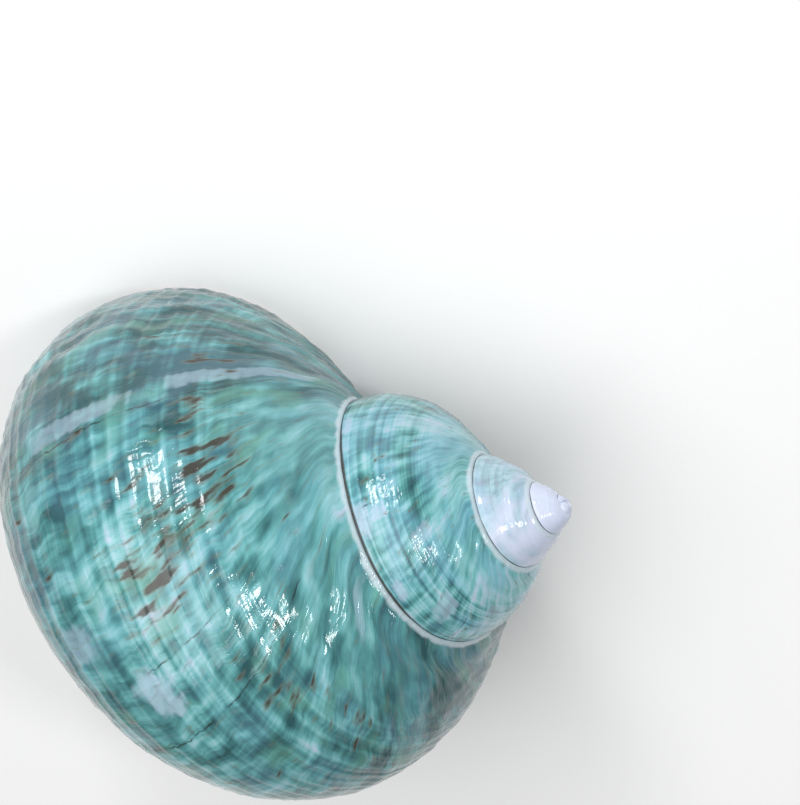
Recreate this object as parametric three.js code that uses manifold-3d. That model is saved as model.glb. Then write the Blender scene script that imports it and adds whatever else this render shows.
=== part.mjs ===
// A polished turban shell, grown as one piece and resting on the rim of its aperture.
// Millimetres, +Z up. The rim lies flat on z = 0 and the spire points along +X.
import * as THREE from 'three';
import { mergeVertices } from 'three/addons/utils/BufferGeometryUtils.js';
import Module from 'manifold-3d';

// Driving dimensions. Lengths marked "lips" are in units of the tube's radius at the lip.
const LIP_RADIUS = 23.5;                        // mm, which makes the shell 60 mm long
const GROWTH_RATE = 0.1246;                     // the shell grows by exp(rate) for each radian
const WALL = 0.08;                              // lips, the thickness of the outer wall
const POLISH_ALLOWANCE = 0.01;                  // lips, the height of the ribs on the surface
const TUBE_CENTRE = { out: 0.712, down: 1.986 };  // lips, from the spiral's pole to the tube's middle
const DESCENT = { inward: 0.138, down: 0.18 };  // lips, how far the last part leaves the true spiral
const DESCENT_SPAN = 2.65;                      // radians before the lip at which it starts to
const AXIS_GAP = 0.03;                          // lips, where the tube stops short of the axis
const PILLAR = 0.3;                             // lips, from the axis to the hollow
const RIM_NORMAL = new THREE.Vector3(-0.9653, -0.0238, 0.2602).normalize();
const RIM_DISTANCE = 1.045;                     // lips, from the pole to the plane of the rim
const FOOTPRINT_CENTRE = new THREE.Vector2(-30.74, 4.95);  // mm, the middle of the shell from above

// The tube's section is a circle one lip in radius with waves round it, in lips. The later terms
// are swellings: an angle in degrees from straight outward, a width in degrees and a height.
const SECTION_WAVES = [
  { turns: 2, cosine: -0.120, sine: -0.173 },
  { turns: 3, cosine: 0.074, sine: 0.075 },
  { turns: 4, cosine: -0.019, sine: -0.016 },
];
const INNER_CORNER = { angle: -170, width: 25, height: 0.22 };
const BASE = { angle: -120, width: 30, height: -0.16 };
const BASE_AT_LIP = { angle: -115, width: 35, height: -0.3 };
const YOUNG_SIDE = { angle: 28, width: 35, height: -0.131 };
const YOUNG_BEFORE = -9.05;                     // radians of growth, where the early whorls end
const YOUNG_SPAN = 5;                           // radians over which the slimmer side comes in
const COLUMELLA_CORNER = { angle: -135, width: 40, height: 0.3 };  // extra wall beside the columella

// The columella's core and the inner lip, as [radius, place along it] in lips
const CORE_PROFILE = [[0, -2.3], [0.1, -2.1], [0.06, -1.15], [0, -0.05]];
const INNER_LIP_PROFILE = [[0, -2.54], [0.1, -2.5], [0.16, -2.4], [0.2, -2.15], [0.24, -1.8],
  [0.28, -1.4], [0.24, -1.05], [0, -0.9]];
const INNER_LIP_FLAT = 0.03;                    // lips, how far the inner lip is ground down
const INNER_LIP_SIDE = -0.02;                   // lips, from the axis to the middle of the inner lip
const INNER_LIP_BOW = { middle: -1.8, half: 0.9, depth: 0.12 };  // lips, its curve to the side
const INNER_LIP_RISE = { from: -1.5, rate: 0.6 };  // lips, where it starts to lift off the rim's plane

// Facets
const SECTION_POINTS = 30;
const STEP = 2 * Math.PI / 23.5;                // so that the rings of one whorl miss those of the next
const LENGTH_STEPS = 20;                        // under a turn, so that no length of tube meets itself
const LENGTH_SPACING = 19.5;                    // steps, so that each length overlaps the one before
const LENGTHS = 5;                              // 4.2 turns from the tip of the spire to the lip
const CHAMBER_STEPS = 21;                       // the hollow, which starts and ends between rings
const CHAMBER_OVERSHOOT = 1.5;                  // steps that the hollow runs on past the lip
const LATHE_SIDES = 20;

const degrees = THREE.MathUtils.degToRad;
const swelling = (angle, { angle: centre, width, height }) => {
  const away = THREE.MathUtils.euclideanModulo(angle - degrees(centre) + Math.PI, 2 * Math.PI) - Math.PI;
  return height * Math.exp(-((away / degrees(width)) ** 2));
};

// How far the last part of the tube has come down, from none to all of it at the lip.
const descentAt = (growth) => (Math.max(0, growth + DESCENT_SPAN) / DESCENT_SPAN) ** 2;

// Radius of the tube's section at an angle from straight outward, turning towards the spire.
// The early whorls are slimmer on the side, and the base draws in towards the lip.
function sectionRadius(angle, growth) {
  const youth = THREE.MathUtils.clamp((YOUNG_BEFORE - growth) / YOUNG_SPAN, 0, 1);
  let radius = 1 + POLISH_ALLOWANCE + swelling(angle, INNER_CORNER) + swelling(angle, BASE)
    + youth * swelling(angle, YOUNG_SIDE) + descentAt(growth) * swelling(angle, BASE_AT_LIP);
  SECTION_WAVES.forEach((wave) => {
    radius += wave.cosine * Math.cos(wave.turns * angle) + wave.sine * Math.sin(wave.turns * angle);
  });
  return radius;
}

// The wall is even round the outside and thick in the corner beside the columella.
const wallAt = (angle) => WALL + swelling(angle, COLUMELLA_CORNER);

// One point of the section: out from the axis and up along it, in lips, before growth.
function sectionPoint(angle, growth, isHollow) {
  const descent = descentAt(growth);
  const radius = sectionRadius(angle, growth) - (isHollow ? wallAt(angle) : 0);
  const out = TUBE_CENTRE.out - DESCENT.inward * descent + radius * Math.cos(angle);
  const up = -TUBE_CENTRE.down - DESCENT.down * descent + radius * Math.sin(angle);
  return [Math.max(out, isHollow ? PILLAR : AXIS_GAP), up];
}

// From the shell's own frame, axis along +Z and lip towards +X, to the way it rests.
const spire = new THREE.Vector3(0, 0, 1).projectOnPlane(RIM_NORMAL).normalize();
const side = new THREE.Vector3().crossVectors(RIM_NORMAL, spire);
const toRest = new THREE.Matrix4().makeBasis(spire, side, RIM_NORMAL).transpose();
toRest.premultiply(new THREE.Matrix4().makeScale(LIP_RADIUS, LIP_RADIUS, LIP_RADIUS));
toRest.premultiply(new THREE.Matrix4().makeTranslation(
  -FOOTPRINT_CENTRE.x, -FOOTPRINT_CENTRE.y, RIM_DISTANCE * LIP_RADIUS));

// A closed length of tube, from a place counted in steps of growth. The lip is at 0 and the past
// is negative.
function tube(start, steps, isHollow) {
  const positions = [];
  const faces = [];
  const push = (out, up, growth) => {
    const size = Math.exp(GROWTH_RATE * growth);
    positions.push(size * out * Math.cos(-growth), size * out * Math.sin(-growth), size * up);
  };
  for (let i = 0; i <= steps; i += 1) {
    for (let j = 0; j < SECTION_POINTS; j += 1) {
      const growth = (start + i) * STEP;
      push(...sectionPoint(j / SECTION_POINTS * 2 * Math.PI, growth, isHollow), growth);
    }
  }
  for (let i = 0; i < steps; i += 1) {
    for (let j = 0; j < SECTION_POINTS; j += 1) {
      const a = i * SECTION_POINTS + j;
      const b = i * SECTION_POINTS + (j + 1) % SECTION_POINTS;
      faces.push(a, b, a + SECTION_POINTS, b, b + SECTION_POINTS, a + SECTION_POINTS);
    }
  }
  [0, steps].forEach((ring) => {
    const middle = positions.length / 3;
    push(TUBE_CENTRE.out, -TUBE_CENTRE.down, (start + ring) * STEP);
    for (let j = 0; j < SECTION_POINTS; j += 1) {
      const a = ring * SECTION_POINTS + j;
      const b = ring * SECTION_POINTS + (j + 1) % SECTION_POINTS;
      faces.push(...(ring === 0 ? [middle, b, a] : [middle, a, b]));
    }
  });
  const geometry = new THREE.BufferGeometry();
  geometry.setAttribute('position', new THREE.Float32BufferAttribute(positions, 3));
  geometry.setIndex(faces);
  return geometry.applyMatrix4(toRest);
}

// The columella's core: a needle that fills the axis of the spiral.
function core() {
  const points = CORE_PROFILE.map((place) => new THREE.Vector2(...place));
  return new THREE.LatheGeometry(points, LATHE_SIDES).rotateX(Math.PI / 2).applyMatrix4(toRest);
}

// The inner lip: a rounded bar along the rim's plane, from inside the older whorl to the base.
function innerLip() {
  const points = INNER_LIP_PROFILE.map((place) => new THREE.Vector2(...place));
  const bar = new THREE.LatheGeometry(points, LATHE_SIDES).rotateZ(-Math.PI / 2);
  const place = bar.attributes.position;
  for (let i = 0; i < place.count; i += 1) {
    const along = place.getX(i);
    // The bar's own thickness lifts its middle, so that all of it is ground down by the same flat.
    const lift = THREE.MathUtils.mapLinear(along, -2.54, -1.4, 0.08, 0.28) - INNER_LIP_FLAT
      + INNER_LIP_RISE.rate * Math.max(0, along - INNER_LIP_RISE.from) ** 2;
    const bow = INNER_LIP_BOW.depth * (1 - ((along - INNER_LIP_BOW.middle) / INNER_LIP_BOW.half) ** 2);
    place.setXYZ(i, along * LIP_RADIUS - FOOTPRINT_CENTRE.x,
      (place.getY(i) + INNER_LIP_SIDE - bow) * LIP_RADIUS - FOOTPRINT_CENTRE.y,
      (place.getZ(i) + lift) * LIP_RADIUS);
  }
  return bar;
}

const wasm = await Module();
wasm.setup();

function solid(geometry) {
  geometry.deleteAttribute('normal');
  geometry.deleteAttribute('uv');
  const merged = mergeVertices(geometry, 1e-5);
  const faces = [];
  for (let i = 0; i < merged.index.count; i += 3) {
    const [a, b, c] = [0, 1, 2].map((k) => merged.index.getX(i + k));
    if (a !== b && b !== c && c !== a) faces.push(a, b, c);
  }
  return new wasm.Manifold(new wasm.Mesh({
    numProp: 3,
    vertProperties: new Float32Array(merged.attributes.position.array),
    triVerts: new Uint32Array(faces),
  }));
}

// The tube is joined length by length. The chamber is hollowed out of its last turn, but not out
// of the whorl before it, whose outer wall the chamber was built against.
let grown = null;
let earlier = null;
for (let i = LENGTHS - 1; i >= 0; i -= 1) {
  const length = solid(tube(-i * LENGTH_SPACING - LENGTH_STEPS, LENGTH_STEPS, false));
  earlier = grown;
  grown = grown ? grown.add(length) : length;
}
const chamberStart = CHAMBER_OVERSHOOT - CHAMBER_STEPS;
const chamber = solid(tube(chamberStart, CHAMBER_STEPS, true)).subtract(earlier);
const below = new THREE.BoxGeometry(200, 200, 100).translate(0, 0, -50);
const shellSolid = grown.add(solid(core())).subtract(chamber).add(solid(innerLip())).subtract(solid(below));

function toGeometry(manifold) {
  const mesh = manifold.getMesh();
  const geometry = new THREE.BufferGeometry();
  geometry.setAttribute('position', new THREE.BufferAttribute(mesh.vertProperties, 3));
  geometry.setIndex(new THREE.BufferAttribute(mesh.triVerts, 1));
  geometry.computeVertexNormals();
  return geometry;
}

const polishedShell = new THREE.MeshStandardMaterial({ color: 0x6fa9a6, roughness: 0.18, metalness: 0 });
const shell = new THREE.Mesh(toGeometry(shellSolid), polishedShell);
shell.name = 'shell';

const part = new THREE.Group();
part.add(shell);
export default part;
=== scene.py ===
"""A polished turban shell lying mouth down. Metres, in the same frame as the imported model."""

import bpy
import numpy as np
from mathutils import Matrix, Vector


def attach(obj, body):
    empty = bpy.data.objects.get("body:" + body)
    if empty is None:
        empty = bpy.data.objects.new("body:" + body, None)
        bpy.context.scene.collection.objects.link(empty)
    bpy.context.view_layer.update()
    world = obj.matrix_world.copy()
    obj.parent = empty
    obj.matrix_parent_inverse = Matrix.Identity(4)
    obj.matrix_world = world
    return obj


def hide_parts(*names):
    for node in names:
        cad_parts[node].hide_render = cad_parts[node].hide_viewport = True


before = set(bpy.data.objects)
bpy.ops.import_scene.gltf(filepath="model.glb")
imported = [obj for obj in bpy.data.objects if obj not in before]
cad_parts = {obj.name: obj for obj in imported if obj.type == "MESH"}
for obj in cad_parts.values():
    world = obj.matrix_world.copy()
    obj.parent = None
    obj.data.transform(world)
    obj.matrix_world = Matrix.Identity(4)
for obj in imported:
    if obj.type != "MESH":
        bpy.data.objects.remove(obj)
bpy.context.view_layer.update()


# The shell's skin
# A snail adds shell only at its lip, so every growth line is an old lip and the spiral is one
# strip that widens as it goes. It is limy shell with its rough coat ground off and polished.

# A lip is the tube's radius at the lip, and lengths are in lips unless they say otherwise.
# Growth is the angle round the axis in radians, 0 at the lip and negative in the past.
LIP_RADIUS = 0.0235  # metres
GROWTH_RATE = 0.1246  # the shell grows by exp(rate) for each radian
TUBE_OUT, TUBE_DOWN = 0.712, 1.986  # from the spiral's pole to the tube's middle
DESCENT_IN, DESCENT_DOWN = 0.138, 0.18  # how far the last part leaves the true spiral
DESCENT_SPAN = 2.65  # radians before the lip at which it starts to
AXIS_GAP = 0.03  # where the tube stops short of the axis
RIM_NORMAL = (-0.9653, -0.0238, 0.2602)
RIM_DISTANCE = 1.045  # from the pole to the plane of the rim
FOOTPRINT = np.array([-0.03074, 0.00495])  # metres, the middle of the shell from above
TURN = 2 * np.pi

# The tube's section is a circle with waves round it: turns, cosine and sine. It has swellings
# too: an angle from straight outward and a width, in degrees, and a height.
SECTION_WAVES = ((2, -0.12, -0.173), (3, 0.074, 0.075), (4, -0.019, -0.016))
INNER_CORNER = (-170, 25, 0.22)
BASE = (-120, 30, -0.16)
BASE_AT_LIP = (-115, 35, -0.3)
YOUNG_SIDE = (28, 35, -0.131)
YOUNG_BEFORE, YOUNG_SPAN = -9.05, 5  # radians: where the early whorls end, and how gradually
WALL = 0.08
COLUMELLA_CORNER = (-135, 40, 0.3)  # extra wall beside the columella

rim_normal = np.array(RIM_NORMAL) / np.linalg.norm(RIM_NORMAL)
spire = np.array([0, 0, 1]) - rim_normal[2] * rim_normal
spire /= np.linalg.norm(spire)
to_rest = np.stack([spire, np.cross(rim_normal, spire), rim_normal])
pole = np.array([-FOOTPRINT[0], -FOOTPRINT[1], RIM_DISTANCE * LIP_RADIUS])


def swelling(angle, centre, width, height):
    away = (angle - np.radians(centre) + np.pi) % TURN - np.pi
    return height * np.exp(-((away / np.radians(width)) ** 2))


def descent(growth):
    """How far the last part of the tube has come down, from none to all of it at the lip."""
    return (np.maximum(0, growth + DESCENT_SPAN) / DESCENT_SPAN) ** 2


def section_radius(angle, growth):
    """The tube's radius at an angle from straight outward that turns towards the spire."""
    youth = np.clip((YOUNG_BEFORE - growth) / YOUNG_SPAN, 0, 1)
    radius = 1 + swelling(angle, *INNER_CORNER) + swelling(angle, *BASE)
    radius = radius + youth * swelling(angle, *YOUNG_SIDE)
    radius = radius + descent(growth) * swelling(angle, *BASE_AT_LIP)
    for turns, cosine, sine in SECTION_WAVES:
        radius += cosine * np.cos(turns * angle) + sine * np.sin(turns * angle)
    return radius


def shell_point(angle, growth, raised=0.0, axis_gap=AXIS_GAP):
    """Where a place on the shell lies at rest, in metres."""
    radius = section_radius(angle, growth) + raised
    out = TUBE_OUT - DESCENT_IN * descent(growth) + radius * np.cos(angle)
    up = -TUBE_DOWN - DESCENT_DOWN * descent(growth) + radius * np.sin(angle)
    out = np.maximum(out, axis_gap)
    size = np.exp(GROWTH_RATE * growth)
    place = np.stack([size * out * np.cos(growth), -size * out * np.sin(growth), size * up], -1)
    return place @ to_rest.T * LIP_RADIUS + pole


def wall_thickness(angle):
    """The wall is even round the outside and thick in the corner beside the columella."""
    return WALL + swelling(angle, *COLUMELLA_CORNER)


def depth_inside(place, growth, of_hollow=False):
    """How far a place is inside another whorl's tube or its hollow, in lips at that growth."""
    turned = (place - pole) / LIP_RADIUS @ to_rest
    size = np.exp(GROWTH_RATE * growth)
    out = np.hypot(turned[..., 0], turned[..., 1]) / size - TUBE_OUT + DESCENT_IN * descent(growth)
    up = turned[..., 2] / size + TUBE_DOWN + DESCENT_DOWN * descent(growth)
    angle = np.arctan2(up, out)
    wall = wall_thickness(angle) if of_hollow else 0.0
    return section_radius(angle, growth) - wall - np.hypot(out, up)


def first_where(found, values, otherwise):
    """For each row, the value at the first column where something is found."""
    return np.where(found.any(1), values[found.argmax(1)], otherwise)


# Where each whorl meets the one before it and the one after it, as angles on the section
NOT_MET = -9.0
table_growth = np.linspace(-33, 0.3, 700)
scan = np.radians(np.arange(60, 100, 0.1))
scan_angle, scan_growth = np.broadcast_arrays(scan, table_growth[:, None])
met = depth_inside(shell_point(scan_angle, scan_growth), scan_growth - TURN) > 0.004
upper_suture = first_where(met, scan, np.radians(88))
scan = np.radians(np.arange(60, -112, -0.1))
scan_angle, scan_growth = np.broadcast_arrays(scan, table_growth[:, None])
met = depth_inside(shell_point(scan_angle, scan_growth), scan_growth + TURN) > 0.0
met &= scan_growth + TURN < 0.0
lower_suture = first_where(met, scan, NOT_MET)

# The first whorl has none inside it, so its skin goes all the way round
FIRST_WHORL_END, FIRST_WHORL_FADE = -19.7, 0.6
first_whorl = np.clip((FIRST_WHORL_END + FIRST_WHORL_FADE - table_growth) / FIRST_WHORL_FADE, 0, 1)
upper_suture = upper_suture + first_whorl * (np.radians(208) - upper_suture)

# The growth at which each angle of the skin reaches the plane of the rim. At both ends the lip
# leaves the plane and curves away, to the axis and to the suture.
RIM_ROUNDING = 0.00035  # metres
AXIS_END = ((-126, -120, -115, -111), (0.0, -0.03, -0.1, -0.23))
SUTURE_END = ((79, 82, 86, 90), (-0.23, -0.12, -0.03, 0.0))
rim_angles = np.radians(np.arange(-107, 76.1, 1))
scan_growth = np.linspace(-2.2, 0.0, 1200)
heights = shell_point(*np.broadcast_arrays(rim_angles[:, None], scan_growth))[..., 2]
rim_growths = scan_growth[(heights < RIM_ROUNDING).argmax(1)]
rim_angles = np.concatenate([np.radians(AXIS_END[0]), rim_angles, np.radians(SUTURE_END[0])])
rim_growths = np.concatenate([AXIS_END[1], rim_growths, SUTURE_END[1]])


def rim_growth(angle):
    return np.interp(angle, rim_angles, rim_growths)


def growth_line(angle):
    """How far a growth line runs ahead at an angle: an old lip, bent back at the suture."""
    bend = np.clip((np.degrees(angle) - 60) / 24, 0, 1) ** 1.5
    return rim_growth(angle) - 0.22 * bend


def smooth_step(low, high, value):
    share = np.clip((value - low) / (high - low), 0, 1)
    return share * share * (3 - 2 * share)


def soft_noise(across, along, seed):
    """Smooth noise from -1 to 1 on a square lattice."""
    side = 256
    lattice = np.random.default_rng(seed).uniform(-1, 1, (side, side))
    x, y = np.floor(across), np.floor(along)
    u, v = smooth_step(0, 1, across - x), smooth_step(0, 1, along - y)
    x, y = x.astype(int) % side, y.astype(int) % side
    next_x, next_y = (x + 1) % side, (y + 1) % side
    near = lattice[x, y] * (1 - u) + lattice[next_x, y] * u
    far = lattice[x, next_y] * (1 - u) + lattice[next_x, next_y] * u
    return near * (1 - v) + far * v


def distance_grown(line):
    """Millimetres of shell laid down round the outside since the apex."""
    outside_radius = 1000 * 1.7 * LIP_RADIUS
    return outside_radius / GROWTH_RATE * np.exp(GROWTH_RATE * line)


# Heights of the relief that polishing has left are in millimetres, and ribs are so many degrees
# apart. The snail rested at some growth lines, and each rest left a small step.
RIB_SPACING, RIB_HEIGHT, THREAD_HEIGHT = 6.2, 0.065, 0.035
FINE_RIDGE, RIDGE, FOLD, SMALL_FOLD = 0.065, 0.1, 0.14, 0.1
SUNK = 0.2  # the skin lies this much lower, so that its highest ridges stay inside the solid
REST_STEPS = ((-0.6, 0.05), (-0.955, 0.12), (-1.8, 0.07), (-2.08, 0.1), (-7.25, 0.06), (-8.9, 0.05))
REST_STEP_LENGTH = 0.05  # radians


def relief(angle, growth, line):
    """The skin's height in millimetres, and its ribs' and ridges' heights from about -1 to 1."""
    degrees = np.degrees(angle)
    size = np.exp(GROWTH_RATE * growth)
    grown = distance_grown(line)
    # Ribs run round the whorl, apart from its shoulder and its base
    ribbed = smooth_step(-100, -55, degrees) * (1 - smooth_step(34, 54, degrees))
    drift = 0.5 * soft_noise(degrees / 17, grown / 60, 3)
    strength = 0.6 + 0.5 * soft_noise(degrees / 9, grown / 20, 4)
    ribs = RIB_HEIGHT * np.cos(TURN * (degrees / RIB_SPACING + drift))
    ribs += THREAD_HEIGHT * np.cos(TURN * (2 * degrees / RIB_SPACING + 1.5 * drift))
    ribs *= strength * ribbed
    # Ridges run along the growth lines. The newest are the roughest, and folds cross the shoulder.
    sway = 0.5 * soft_noise(degrees / 7, grown / 6, 5)
    ridges = FINE_RIDGE * soft_noise(grown / 1.1 + sway, degrees / 12, 6)
    ridges += RIDGE * soft_noise(grown / 2.6 + sway, degrees / 16, 7)
    ridges *= 1 + 0.8 * smooth_step(-1.1, -0.6, line)
    folds = FOLD * soft_noise(grown / 4.2 + 1.4 * sway, degrees / 9, 10)
    ridges += folds * smooth_step(38, 60, degrees)
    folds = SMALL_FOLD * soft_noise(grown / 2.3 - 1.8 * sway, degrees / 5, 11)
    ridges += folds * smooth_step(44, 62, degrees)
    height = size * (ribs - SUNK) + np.clip(size * 1.6, 0, 1) * ridges
    wobble = 0.012 * soft_noise(degrees / 9, 0 * degrees, 8)
    wobble += 0.006 * soft_noise(degrees / 3, 0 * degrees, 9)
    for rest, step in REST_STEPS:
        before = line + wobble - rest
        height += size * step * np.where(before < 0, np.exp(before / REST_STEP_LENGTH), 0.0)
    return height, ribs / 0.08, ridges / FOLD


# Rows of the grid are growth lines, close enough together for the ridges
TIP_GROWTH = -26.0
ROW_SPACING = 0.63  # mm of growth
WIDEST_ROW = 0.1  # radians
row_lines = [0.0]
while row_lines[-1] > TIP_GROWTH:
    spacing = ROW_SPACING / (distance_grown(row_lines[-1]) * GROWTH_RATE)
    row_lines.append(row_lines[-1] - min(spacing, WIDEST_ROW))
row_lines = np.array(row_lines[::-1])

# Columns are angles on the section, closest on the outside. From the shoulder up they close on
# the suture, whatever its angle. A column's growth changes with its angle, so that takes passes.
SHOULDER, SHOULDER_SPAN = 62, 26  # degrees
columns = np.radians(np.concatenate([
    np.linspace(-152, -75, 28, endpoint=False),
    np.linspace(-75, SHOULDER, 150, endpoint=False),
    SHOULDER + SHOULDER_SPAN * (1 - (1 - np.linspace(0, 1, 30)) ** 1.35),
]))
line_grid, angle_grid = np.meshgrid(row_lines, columns, indexing="ij")
shoulder_angle = np.radians(SHOULDER)
climb = np.maximum(0, angle_grid - shoulder_angle) / np.radians(SHOULDER_SPAN)
angle_rows = angle_grid
for _ in range(4):
    top = np.interp(line_grid + rim_growth(angle_rows), table_growth, upper_suture)
    climbed = shoulder_angle + climb * (top - shoulder_angle)
    angle_rows = np.where(climb > 0, climbed, angle_grid)
growth_rows = line_grid + rim_growth(angle_rows)
line_rows = growth_rows - growth_line(angle_rows)
size_rows = np.exp(GROWTH_RATE * growth_rows)

# Distances from the seams, in millimetres. Along the upper one the skin rises to a bead, and
# along the lower one it dips into a groove.
BEAD_HEIGHT, BEAD_PLACE, BEAD_WIDTH = 0.15, 0.25, 0.2
GROOVE_DEPTH, GROOVE_WIDTH = 0.1, 0.3
millimetres_per_lip = 1000 * LIP_RADIUS * size_rows
top = np.interp(growth_rows, table_growth, upper_suture)
foot = np.interp(growth_rows, table_growth, lower_suture)
from_top = millimetres_per_lip * (top - angle_rows)
from_foot = millimetres_per_lip * np.clip(angle_rows - foot, -0.2, 9)
height, rib_height, ridge_height = relief(angle_rows, growth_rows, line_rows)
height *= smooth_step(0.0, 0.6, from_top) * (0.25 + 0.75 * smooth_step(0.0, 1.0, np.abs(from_foot)))
seam_size = np.clip(2 * size_rows, 0, 1)
height += seam_size * BEAD_HEIGHT * np.exp(-(((from_top - BEAD_PLACE) / BEAD_WIDTH) ** 2))
height -= seam_size * GROOVE_DEPTH * np.exp(-((from_foot / GROOVE_WIDTH) ** 2))
TIP_ROUNDING = 1.3  # radians
tip_share = np.clip((line_grid - row_lines[0]) / TIP_ROUNDING, 0, 1)
narrowing = (np.sqrt(1 - (1 - tip_share) ** 2) - 1) * section_radius(angle_rows, growth_rows)
skin = shell_point(angle_rows, growth_rows, height / millimetres_per_lip + narrowing)

# What is buried under the next whorl is left out. What shows inside the mouth is kept, and the
# mother of pearl goes a little past the mouth, to a soft edge.
CHAMBER_START = -5.35
SEAM_OVERLAP = 0.03
newer = growth_rows + TURN
hollow_depth = depth_inside(skin, newer, of_hollow=True)
buried = (depth_inside(skin, newer) > SEAM_OVERLAP) & (newer < -0.05)
in_chamber = (hollow_depth > -SEAM_OVERLAP) & (newer > CHAMBER_START) & (newer < 0.6)
pearly = np.clip(0.5 + hollow_depth / 0.08, 0, 1) * smooth_step(0.25, 0.05, newer)
pearly *= newer > CHAMBER_START
below_ground = skin[..., 2] < -0.0003
hidden = (buried & ~in_chamber) | below_ground
skin[..., 2] = np.maximum(skin[..., 2], 0)


def grid_faces(rows, count, first=0):
    """Corner numbers of the squares of a grid."""
    start = first + (np.arange(rows - 1)[:, None] * count + np.arange(count - 1)).reshape(-1, 1)
    return start + np.array([[0, 1, count + 1, count]])


def per_point(x, y, z=0.0):
    """Three numbers for each point of a grid."""
    return np.stack(np.broadcast_arrays(x, y, z), -1).reshape(-1, 3)


def make_mesh(name, places, faces, values):
    """A smooth mesh with the values given to each of its points."""
    used, numbers = np.unique(faces, return_inverse=True)
    mesh = bpy.data.meshes.new(name)
    mesh.from_pydata(places[used].tolist(), [], numbers.reshape(faces.shape).tolist())
    for label, given in values.items():
        layer = mesh.attributes.new(label, "FLOAT_VECTOR", "POINT")
        layer.data.foreach_set("vector", given[used].astype(np.float32).ravel())
    mesh.polygons.foreach_set("use_smooth", [True] * len(mesh.polygons))
    piece = bpy.data.objects.new(name, mesh)
    bpy.context.scene.collection.objects.link(piece)
    return piece


skin_faces = grid_faces(*line_grid.shape)
skin_faces = skin_faces[~hidden.ravel()[skin_faces].all(1)]
skin_piece = make_mesh("shell_skin", skin.reshape(-1, 3), skin_faces, {
    "shell_line": per_point(line_rows, np.degrees(angle_rows)),
    "shell_seam": per_point(from_top, from_foot, pearly),
    "shell_relief": per_point(rib_height, ridge_height),
})
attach(skin_piece, "root")
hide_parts("shell")


class Value:
    """A number that changes over a surface. Sums on it add Math nodes to its finish."""

    def __init__(self, finish, socket):
        self.finish, self.socket = finish, socket

    def __add__(self, other):
        return self.finish.maths("ADD", self, other)

    def __sub__(self, other):
        return self.finish.maths("SUBTRACT", self, other)

    def __rsub__(self, other):
        return self.finish.maths("SUBTRACT", other, self)

    def __mul__(self, other):
        return self.finish.maths("MULTIPLY", self, other)

    def __truediv__(self, other):
        return self.finish.maths("DIVIDE", self, other)

    def __rtruediv__(self, other):
        return self.finish.maths("DIVIDE", other, self)

    def __abs__(self):
        return self.finish.maths("ABSOLUTE", self)

    __radd__, __rmul__ = __add__, __mul__


class Finish:
    """A material whose nodes are made one at a time."""

    def __init__(self, name):
        self.material = bpy.data.materials.new(name)
        self.material.use_nodes = True
        self.tree = self.material.node_tree
        self.tree.nodes.clear()

    def node(self, kind, settings, inputs, output=0):
        made = self.tree.nodes.new(kind)
        for name, value in settings.items():
            if name == "stops":
                ramp = made.color_ramp.elements
                for at, _ in value[2:]:
                    ramp.new(at)
                for stop, (at, colour) in zip(ramp, value):
                    stop.position, stop.color = at, (*colour, 1)
            else:
                setattr(made, name, value)
        for name, value in inputs.items():
            if isinstance(value, Value):
                self.tree.links.new(value.socket, made.inputs[name])
            else:
                made.inputs[name].default_value = value
        return Value(self, made.outputs[output]) if made.outputs else None

    def maths(self, operation, *terms):
        return self.node("ShaderNodeMath", {"operation": operation}, dict(enumerate(terms)))

    def given(self, name, axes):
        """The numbers that the mesh gives each of its points under a name."""
        vector = self.node("ShaderNodeAttribute", {"attribute_name": name}, {}, "Vector")
        return [self.node("ShaderNodeSeparateXYZ", {}, {"Vector": vector}, axis) for axis in axes]

    def step(self, low, high, value):
        """0 below low and 1 above high, or the other way round, with a soft edge."""
        ends = {"From Min": low, "From Max": high, "Value": value}
        return self.node("ShaderNodeMapRange", {"interpolation_type": "SMOOTHSTEP"}, ends)

    def noise(self, x, y, seed, detail=1.0, roughness=0.5):
        """Noise from 0 to 1, with a new pattern for each seed."""
        where = self.node("ShaderNodeCombineXYZ", {}, {"X": x, "Y": y, "Z": 7.3 * seed})
        texture = {"Vector": where, "Scale": 1.0, "Detail": detail, "Roughness": roughness}
        return self.node("ShaderNodeTexNoise", {}, texture)

    def ramp(self, stops, share):
        return self.node("ShaderNodeValToRGB", {"stops": stops}, {"Fac": share})

    def blend(self, share, under, over):
        """One colour over another. The Mix node's colour sockets are 6 and 7, and it gives 2."""
        return self.node("ShaderNodeMix", {"data_type": "RGBA"}, {0: share, 6: under, 7: over}, 2)

    def shade(self, colour, settings, bump=None):
        """Ends the finish with its surface. Bump is in millimetres."""
        inputs = {"Base Color": colour, **settings}
        if bump is not None:
            heights = {"Height": bump, "Strength": 1.0, "Distance": 0.001}
            inputs["Normal"] = self.node("ShaderNodeBump", {}, heights)
        surface = self.node("ShaderNodeBsdfPrincipled", {}, inputs)
        self.node("ShaderNodeOutputMaterial", {}, {"Surface": surface})


def opaque(colour):
    return (*colour, 1.0)


# The green of the shell, from its darkest to where it is worn nearly through
DARK_TEAL = (0.028, 0.095, 0.105)
TEAL = (0.055, 0.185, 0.195)
SEA_GREEN = (0.09, 0.285, 0.295)
AQUA = (0.15, 0.42, 0.435)
PALE_AQUA = (0.27, 0.55, 0.59)
LILAC_WHITE = (0.44, 0.58, 0.7)
# What tints it, and what lies over or under it
MINT = (0.13, 0.35, 0.26)
SKY = (0.2, 0.42, 0.62)
PEARL_LILAC = (0.6, 0.66, 0.82)
SEAM_WHITE = (0.56, 0.66, 0.72)
PEARL_GREY = (0.6, 0.66, 0.64)
TAN = (0.2, 0.2, 0.14)
BROWN = (0.055, 0.038, 0.03)
NEAR_BLACK = (0.02, 0.016, 0.015)

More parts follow.
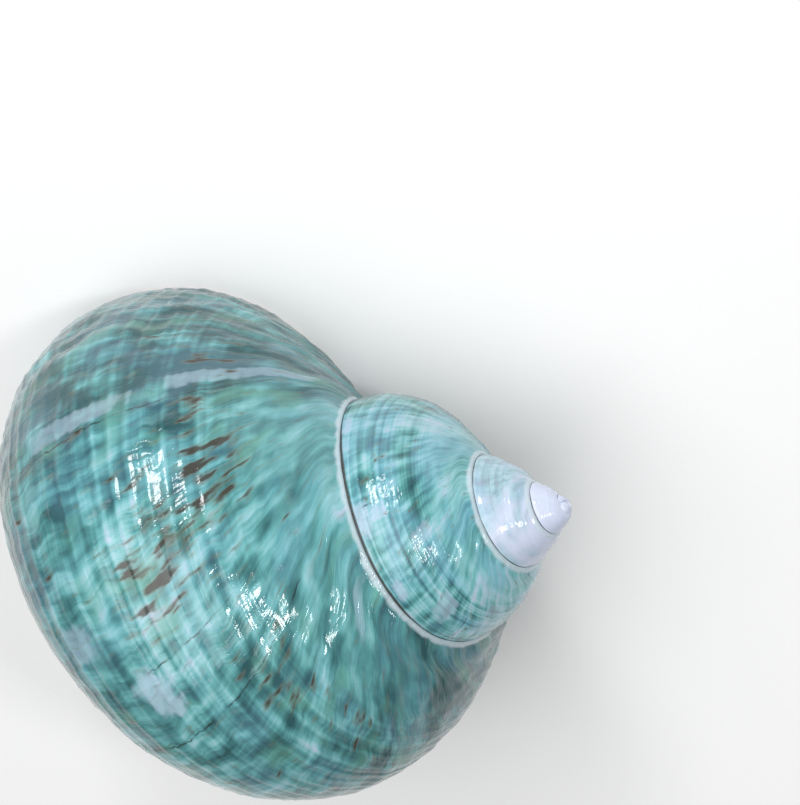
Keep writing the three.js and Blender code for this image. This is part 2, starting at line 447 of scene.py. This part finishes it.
polish = Finish("polished_shell")
line, degrees = polish.given("shell_line", "XY")
seam_top, seam_foot, lined = polish.given("shell_seam", "XYZ")
rib_height, ridge_height = polish.given("shell_relief", "XY")
grown = polish.maths("EXPONENT", line * GROWTH_RATE) * float(distance_grown(0))

# Regions of the shell, each 1 inside and 0 outside
penultimate = polish.step(-6.0, -6.8, line)  # and the whorls before it
early = polish.step(-9.9, -11.0, line)
newest = polish.step(-1.15, -0.7, line)
older_side = polish.step(-2.2, -3.3, line) * (1 - penultimate)
base = polish.step(-15, -55, degrees) * (1 - penultimate)
shoulder = polish.step(46, 66, degrees)
ribbed = polish.step(-95, -60, degrees) * polish.step(60, 38, degrees)

# Colour laid down in streaks along the growth lines and in bands round the whorl
sway = 2.1 * polish.noise(degrees / 9, grown / 7, 1)
sway = sway + 0.5 * polish.noise(degrees / 3, grown / 4, 18)
sway = sway * (1 - 0.65 * penultimate)
across = grown + sway
round_whorl = degrees + 3 * polish.noise(grown / 8, degrees / 20, 19)
broad = polish.noise(across / 9, degrees / 40, 2)
streaks = polish.noise(across / 3.0, degrees / 17, 3)
fine = polish.noise(across / 1.1, degrees / (11 + 15 * penultimate), 4)
blotches = polish.noise(across / 4, degrees / 9, 20, detail=2)
hairlines = polish.noise(across / 0.4, degrees / 16, 15)
bands = polish.noise(grown / 50, round_whorl / 5, 5)
threads = polish.noise(grown / 30, round_whorl / 1.7, 6)
plaid = 0.4 * (bands - 0.5) + 0.24 * (threads - 0.5) + 0.085 * rib_height
tone = 0.5 + 0.65 * (broad - 0.5) + 0.08 * penultimate + 0.04 * shoulder
tone = tone + (0.85 - 0.35 * shoulder - 0.25 * penultimate) * (streaks - 0.5)
tone = tone + (0.6 - 0.35 * penultimate) * (blotches - 0.5)
tone = tone + (0.55 - 0.35 * shoulder + 0.4 * penultimate) * (fine - 0.5)
tone = tone + (0.26 - 0.2 * shoulder) * (hairlines - 0.5) + 0.05 * ridge_height
tone = tone + ribbed * plaid * (1 + 0.5 * penultimate)
# Painted shade: the newest shell, the base and the older side are darkened where the shell turns
# away from the light
tone = tone - 0.29 * newest - 0.31 * base * (1 - newest) - 0.31 * older_side * (1 - 0.6 * base)
greens = [(0.12, DARK_TEAL), (0.3, TEAL), (0.44, SEA_GREEN), (0.58, AQUA), (0.74, PALE_AQUA),
          (0.92, LILAC_WHITE)]
colour = polish.ramp(greens, tone)
mint = 0.45 * polish.step(0.54, 0.72, polish.noise(across / 5, degrees / 20, 7))
colour = polish.blend(mint * (1 - 0.7 * penultimate), colour, opaque(MINT))
blue = polish.step(0.42, 0.65, polish.noise(across / 7, degrees / 24, 21))
colour = polish.blend((0.14 + 0.16 * penultimate) * blue, colour, opaque(SKY))

# The early whorls have lost their green and are left a pale lilac, with a wash of it on the third
newer_end = polish.step(-14.3, -13.3, line)
pale_streaks = polish.noise(across / 4, degrees / 40, 8) + 0.3 * newer_end
washed = 0.6 * polish.step(0.42, 0.75, pale_streaks) * polish.step(-17.0, -15.0, line)
colour = polish.blend(early * (1 - washed), colour, opaque(PEARL_LILAC))


def stretch(at, half_width, from_degrees, to_degrees, soft=6):
    """1 within a stretch of growth and between two angles, fading at the edges."""
    along = polish.step(1.2, 0.4, abs(line - at) / half_width)
    above = polish.step(from_degrees - soft, from_degrees + soft, degrees)
    below = polish.step(to_degrees + soft, to_degrees - soft, degrees)
    return along * above * below


# Pale patches where the green is worn through. Each is a stretch and how far it is worn.
WORN_PATCHES = (
    ((-1.88, 0.13, -14, 1), 0.7),
    ((-2.6, 0.08, 70, 84), 0.4),
    ((-7.6, 0.17, -11, 4), 0.75),
    ((-8.2, 0.12, -6, 6), 0.7),
    ((-8.62, 0.14, 6, 34), 0.5),
    ((-6.85, 0.12, 25, 62), 0.35),
    ((-0.9, 0.045, -25, 12), 0.4),
    ((-0.88, 0.045, 24, 74), 0.45),
    ((-8.0, 0.1, 26, 50), 0.45),
    ((-9.3, 0.25, 10, 50), 0.4),
    ((-1.6, 0.09, -34, -18), 0.45),
)
ragged = 1.4 * (polish.noise(across / 2, degrees / 5, 9, detail=2) - 0.5) + 0.16 * rib_height
for patch, strength in WORN_PATCHES:
    within = stretch(*patch)
    worn = polish.step(0.35, 0.95, within + ragged * polish.step(0.0, 0.3, within))
    colour = polish.blend(worn * strength, colour, opaque(LILAC_WHITE))

# Brown flecks, each with a tan edge, strongest in the stretches where the animal was disturbed
DISTURBED = ((-1.4, 0.36, 2, 52), (-1.36, 0.2, 30, 54), (-1.55, 0.2, -4, 26), (-0.78, 0.14, 28, 48),
             (-2.72, 0.14, 30, 52), (-2.2, 0.3, 20, 50), (-1.02, 0.08, 28, 48), (-7.2, 0.09, 8, 28),
             (-9.0, 0.1, 8, 32))
flecks = polish.noise((grown + 0.4 * sway) / 1.05, degrees / 10, 10, detail=2, roughness=0.4)
flecks = flecks + 0.16 * polish.noise(across / 6, degrees / 12, 11) - 0.12 - 0.5 * early
for place in DISTURBED:
    flecks = flecks + 0.11 * stretch(*place)
colour = polish.blend(0.4 * polish.step(0.56, 0.72, flecks), colour, opaque(TAN))
colour = polish.blend(0.85 * polish.step(0.66, 0.79, flecks), colour, opaque(BROWN))

# Rests in growth, each left as a thin dark line where the lip stood still: where it is, its
# width, and the angles that it runs between
REST_CRACKS = ((-0.6, 0.004, 3, 38), (-0.955, 0.0055, -60, 62), (-1.8, 0.005, -5, 36),
               (-2.08, 0.006, -42, 62), (-8.9, 0.011, -8, 28), (-7.53, 0.01, 0, 12),
               (-10.22, 0.012, -15, 88))
wobble = 0.024 * (polish.noise(degrees / 9, 0.0, 12) - 0.5)
wobble = wobble + 0.02 * (polish.noise(degrees / 2.5, 0.0, 13) - 0.5)
open_share = polish.step(0.4, 0.65, polish.noise(degrees / 5, 0.0, 22))
for rest, width, from_degrees, to_degrees in REST_CRACKS:
    crack = polish.step(1, 0.3, abs(line + wobble - rest) / width)
    crack = crack * stretch(rest, 0.2, from_degrees, to_degrees, soft=3)
    colour = polish.blend(crack * (0.2 + 0.6 * open_share), colour, opaque(NEAR_BLACK))

# The seam between whorls: a raised white edge over a dark line of painted shade in the seam's
# crease, brown with dirt at one place
uneven = polish.noise(grown / 3, 0.0, 14, detail=2)
edge = polish.step(0.62, 0.32, seam_top + 0.4 * (uneven - 0.5))
colour = polish.blend(0.8 * edge, colour, opaque(SEAM_WHITE))
dirty = stretch(-7.7, 1.0, -40, 40)
shade_and_dirt_width = 0.1 + 0.26 * dirty + 0.2 * (uneven - 0.5)
shadow = polish.step(1.3, 0.7, abs(seam_foot) / shade_and_dirt_width) * polish.step(0.5, -5.5, line)
shade_and_dirt = polish.blend(dirty, opaque(NEAR_BLACK), opaque(BROWN))
colour = polish.blend(0.9 * shadow, colour, shade_and_dirt)

# Where the older whorl shows inside the mouth it is coated with mother of pearl
colour = polish.blend(polish.step(0.3, 0.7, lined), colour, opaque(PEARL_GREY))

bump = 0.03 * hairlines + 0.06 * polish.noise(across / 0.9, degrees / 5, 16)
bump = bump + 0.03 * ribbed * threads
roughness = 0.08 + 0.06 * polish.noise(grown / 2, degrees / 5, 17)
gloss = {"Roughness": roughness, "IOR": 1.46, "Coat Weight": 0.1, "Coat Roughness": 0.04}
polish.shade(colour, gloss, bump * (1 - 0.75 * early))
skin_piece.data.materials.append(polish.material)


# The first bulb
# The snail hatched with this bulb of shell, and all the whorls wind on from it. It is the same
# limy shell, grown on to the first whorl, and it closes the tip of the spire.

BULB_RADIUS = 0.00082  # metres
BULB_DEPTH = 0.00178  # metres below the spiral's pole
FAR_FROM_SEAMS = 9.0  # mm
bulb_turn, bulb_rise = np.meshgrid(
    np.linspace(0, TURN, 41), np.linspace(-np.pi / 2, np.pi / 2, 21), indexing="ij")
bulb = np.stack([
    np.cos(bulb_rise) * np.cos(bulb_turn), np.cos(bulb_rise) * np.sin(bulb_turn), np.sin(bulb_rise)
], -1)
bulb = (bulb * BULB_RADIUS - [0, 0, BULB_DEPTH]) @ to_rest.T + pole
bulb_piece = make_mesh("first_bulb", bulb.reshape(-1, 3), grid_faces(*bulb_turn.shape), {
    "shell_line": per_point(TIP_GROWTH, np.degrees(bulb_turn)),
    "shell_seam": per_point(FAR_FROM_SEAMS, FAR_FROM_SEAMS + 0 * bulb_turn),
    "shell_relief": per_point(0 * bulb_turn, 0.0),
})
bulb_piece.data.materials.append(polish.material)
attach(bulb_piece, "root")


# The lining and the rim
# Inside, the snail lays mother of pearl over the limy shell, so the mouth is silvery and smooth.
# The lip's edge is as thick as the wall and is rounded where the shell was polished.

PILLAR = 0.3  # from the axis to the hollow
CHAMBER_ROUNDING = 0.35  # radians over which the hollow closes at its start
LINING_ROWS = 120


def lining_end(angle):
    """The growth at which the lining reaches the rim's plane, or the lip beyond its ends."""
    scan_angle, scan_growth = np.broadcast_arrays(angle[:, None], np.linspace(-2.4, 0.0, 900))
    places = shell_point(scan_angle, scan_growth, -wall_thickness(scan_angle))
    reached = places[..., 2] < RIM_ROUNDING
    reached &= (np.degrees(scan_angle) > -122) & (np.degrees(scan_angle) < 79)
    return first_where(reached, scan_growth[0], 0.0)


lining_angles = np.concatenate([angle_rows[-1], np.radians(np.linspace(88, 204, 24))])
lining_line, lining_angle = np.meshgrid(
    np.linspace(CHAMBER_START, 0, LINING_ROWS), lining_angles, indexing="ij")
lining_growth = lining_line + lining_end(lining_angles)
closing = np.clip((lining_line - CHAMBER_START) / CHAMBER_ROUNDING, 0, 1)
inner = -wall_thickness(lining_angle)
narrowing = np.sqrt(1 - (1 - closing) ** 2) - 1
inner += narrowing * (section_radius(lining_angle, lining_growth) + inner)
lining = shell_point(lining_angle, lining_growth, inner, PILLAR)
outside = depth_inside(lining, lining_growth - TURN) > 0.04
outside |= lining[..., 2] < -0.0001
lining[..., 2] = np.maximum(lining[..., 2], 0.0)

# The rim joins the last row of the skin to the last of the lining. It is ground flat, but beside
# the axis it is off the ground and swells forward instead.
SWELL = 0.45  # of the wall's thickness
LIFTED = 0.0006  # metres
shares = np.linspace(0, 1, 13)[:, None, None]
rim_outer, rim_inner = skin[-1], lining[-1][: skin.shape[1]]
rim = rim_outer * (1 - shares) + rim_inner * shares
crown = np.sqrt(1 - (2 * shares - 1) ** 2)
swollen = smooth_step(-106, -124, np.degrees(angle_rows[-1]))[:, None]
forward = shell_point(angle_rows[-1], growth_rows[-1] + 0.02)
forward -= shell_point(angle_rows[-1], growth_rows[-1])
forward /= np.linalg.norm(forward, axis=1)[:, None]
thickness = np.linalg.norm(rim_outer - rim_inner, axis=1)[:, None]
rim += crown * (swollen * SWELL * thickness * forward - (1 - swollen) * [0, 0, RIM_ROUNDING])
rim[..., 2] = np.maximum(rim[..., 2], LIFTED * swollen[:, 0])

lining_faces = grid_faces(*lining_line.shape)[:, ::-1]
lining_faces = lining_faces[~outside.ravel()[lining_faces].all(1)]
rim_faces = grid_faces(*rim.shape[:2], first=lining_line.size)
lining_piece = make_mesh(
    "pearly_lining",
    np.concatenate([lining.reshape(-1, 3), rim.reshape(-1, 3)]),
    np.concatenate([lining_faces, rim_faces]),
    {"shell_line": np.concatenate([
        per_point(lining_line, np.degrees(lining_angle)), np.zeros((rim.size // 3, 3))])},
)
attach(lining_piece, "root")

pearl = Finish("mother_of_pearl")
line, degrees = pearl.given("shell_line", "XY")
SHEEN = [(0.25, (0.42, 0.6, 0.56)), (0.42, (0.62, 0.68, 0.66)), (0.52, (0.7, 0.62, 0.64)),
         (0.62, (0.58, 0.7, 0.64)), (0.8, (0.74, 0.7, 0.62))]
sheen = pearl.ramp(SHEEN, pearl.noise(line * 2.2, degrees / 60, 31, detail=2))
growth_marks = 0.02 * pearl.noise(line * 30, degrees / 30, 32, detail=2)
pearl_gloss = {"Roughness": 0.22, "Metallic": 0.25, "Coat Weight": 0.6, "Coat Roughness": 0.06}
pearl.shade(sheen, pearl_gloss, growth_marks)
lining_piece.data.materials.append(pearl.material)


# The inner lip
# A thick bar of the same pearly shell closes the mouth on the axis side. It runs from under the
# older whorl to the base, and its underside is ground flat: the shell rests on it.

LIP_START, LIP_END = -2.54, -0.9  # along the spire's direction, from the pole
LIP_STATIONS = (LIP_START, -2.5, -2.4, -2.15, -1.8, -1.4, -1.05, LIP_END)
LIP_WIDTHS = (0.0, 0.12, 0.16, 0.2, 0.24, 0.28, 0.24, 0.0)
LIP_SIDE = -0.02  # from the axis to the middle of the bar
LIP_BOW = 0.12  # its curve to the side
GROUND_EDGE = 0.012  # how softly its flat ends
ROUND_END = 0.3
lip_middle, lip_half = (LIP_START + LIP_END) / 2, (LIP_END - LIP_START) / 2
along_lip = lip_middle - lip_half * np.cos(np.linspace(0, np.pi, 70))
around_lip = np.linspace(0, TURN, 49)
lip_width = np.interp(along_lip, LIP_STATIONS, LIP_WIDTHS)
lip_width = np.convolve(np.pad(lip_width, 3, mode="edge"), np.ones(7) / 7, mode="valid")
ends = np.sqrt(np.maximum(0, (along_lip - LIP_START) * (LIP_END - along_lip)))
lip_width = np.minimum(lip_width, 3.2 * ends)[:, None]
lift = 0.05 + 0.2 * (along_lip - LIP_START) / 1.14 + 0.6 * np.maximum(0, along_lip + 1.5) ** 2
bow = LIP_BOW * (1 - ((along_lip + 1.8) / 0.9) ** 2)
# The bar's upper side rises to the shell's axis and closes the columella, and its end is rounded
crest = np.interp(along_lip, (LIP_START, -2.3, -1.9, -1.4, LIP_END), (3.0, 2.3, 2.0, 1.9, 1.6))
crest *= np.sqrt(1 - (1 - np.clip((along_lip - LIP_START) / ROUND_END, 0, 1)) ** 2)
upper = np.where(np.sin(around_lip) > 0, crest[:, None], 1.0)
bar_y = LIP_SIDE - bow[:, None] + lip_width * np.cos(around_lip)
bar_z = lift[:, None] + lip_width * upper * np.sin(around_lip)
bar_z = 0.5 * (bar_z + np.sqrt(bar_z ** 2 + GROUND_EDGE ** 2) - GROUND_EDGE)
bar_z = np.maximum(bar_z, 0)
bar = np.stack([along_lip[:, None] + 0 * bar_y, bar_y, bar_z], -1) * LIP_RADIUS
bar[..., :2] -= FOOTPRINT
bar_piece = make_mesh("inner_lip", bar.reshape(-1, 3), grid_faces(*bar_z.shape), {
    "shell_line": per_point(along_lip[:, None], np.degrees(around_lip)),
})
bar_piece.data.materials.append(pearl.material)
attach(bar_piece, "root")


# The floor
# A large matt sheet of pale card that the shell lies on. The rim and the inner lip touch it, and
# it is not a part of the shell.

FLOOR_REACH = 3  # metres, to each side
floor_mesh = bpy.data.meshes.new("floor")
corners = [(x * FLOOR_REACH, y * FLOOR_REACH, 0) for x, y in ((-1, -1), (1, -1), (1, 1), (-1, 1))]
floor_mesh.from_pydata(corners, [], [(0, 1, 2, 3)])
floor = bpy.data.objects.new("floor", floor_mesh)
bpy.context.scene.collection.objects.link(floor)
card = Finish("pale_floor")
card.shade(opaque((0.9, 0.9, 0.9)), {"Roughness": 0.9})
floor_mesh.materials.append(card.material)


# The camera
# It looks down over the spire, with the spire pointing to the right of the view and the lip to
# its upper left. It is turned by three directions square to each other.

camera_data = bpy.data.cameras.new("camera")
camera_data.lens = 79.57
camera_data.sensor_width = 36
camera = bpy.data.objects.new("camera", camera_data)
bpy.context.scene.collection.objects.link(camera)
right = Vector((0.90593, -0.40533, -0.12249))
upward = Vector((0.33754, 0.86595, -0.36905))
facing = Matrix((right, upward, right.cross(upward))).transposed().to_4x4()
camera.matrix_world = Matrix.Translation((0.06179, 0.05969, 0.17820)) @ facing
bpy.context.scene.camera = camera


# The lights
# A wide soft light hangs above the shell, with two small lamps: one beyond the shell and one over
# its spire. Their mirror images in the polish are the bright glints on the two largest whorls.

AIM = Vector((0.002, 0.0, 0.025))
for name, towards, distance, width, watts in (
    ("window", (0.2, 0.87, 0.42), 0.36, 0.08, 0.42),
    ("lamp", (0.62, 0.06, 0.78), 0.40, 0.055, 0.32),
    ("softbox", (-0.12, 0.34, 0.97), 0.9, 1.0, 7.7),
):
    lamp_data = bpy.data.lights.new(name, "AREA")
    lamp_data.energy = watts
    lamp_data.size = width
    lamp = bpy.data.objects.new(name, lamp_data)
    lamp.location = AIM + distance * Vector(towards).normalized()
    lamp.rotation_euler = (AIM - lamp.location).to_track_quat("-Z", "Y").to_euler()
    bpy.context.scene.collection.objects.link(lamp)

world = bpy.data.worlds.new("studio")
bpy.context.scene.world = world
world.use_nodes = True
surround = world.node_tree.nodes["Background"]
surround.inputs["Color"].default_value = (1, 1, 1, 1)
surround.inputs["Strength"].default_value = 0.15

bpy.context.scene.view_settings.view_transform = "Standard"
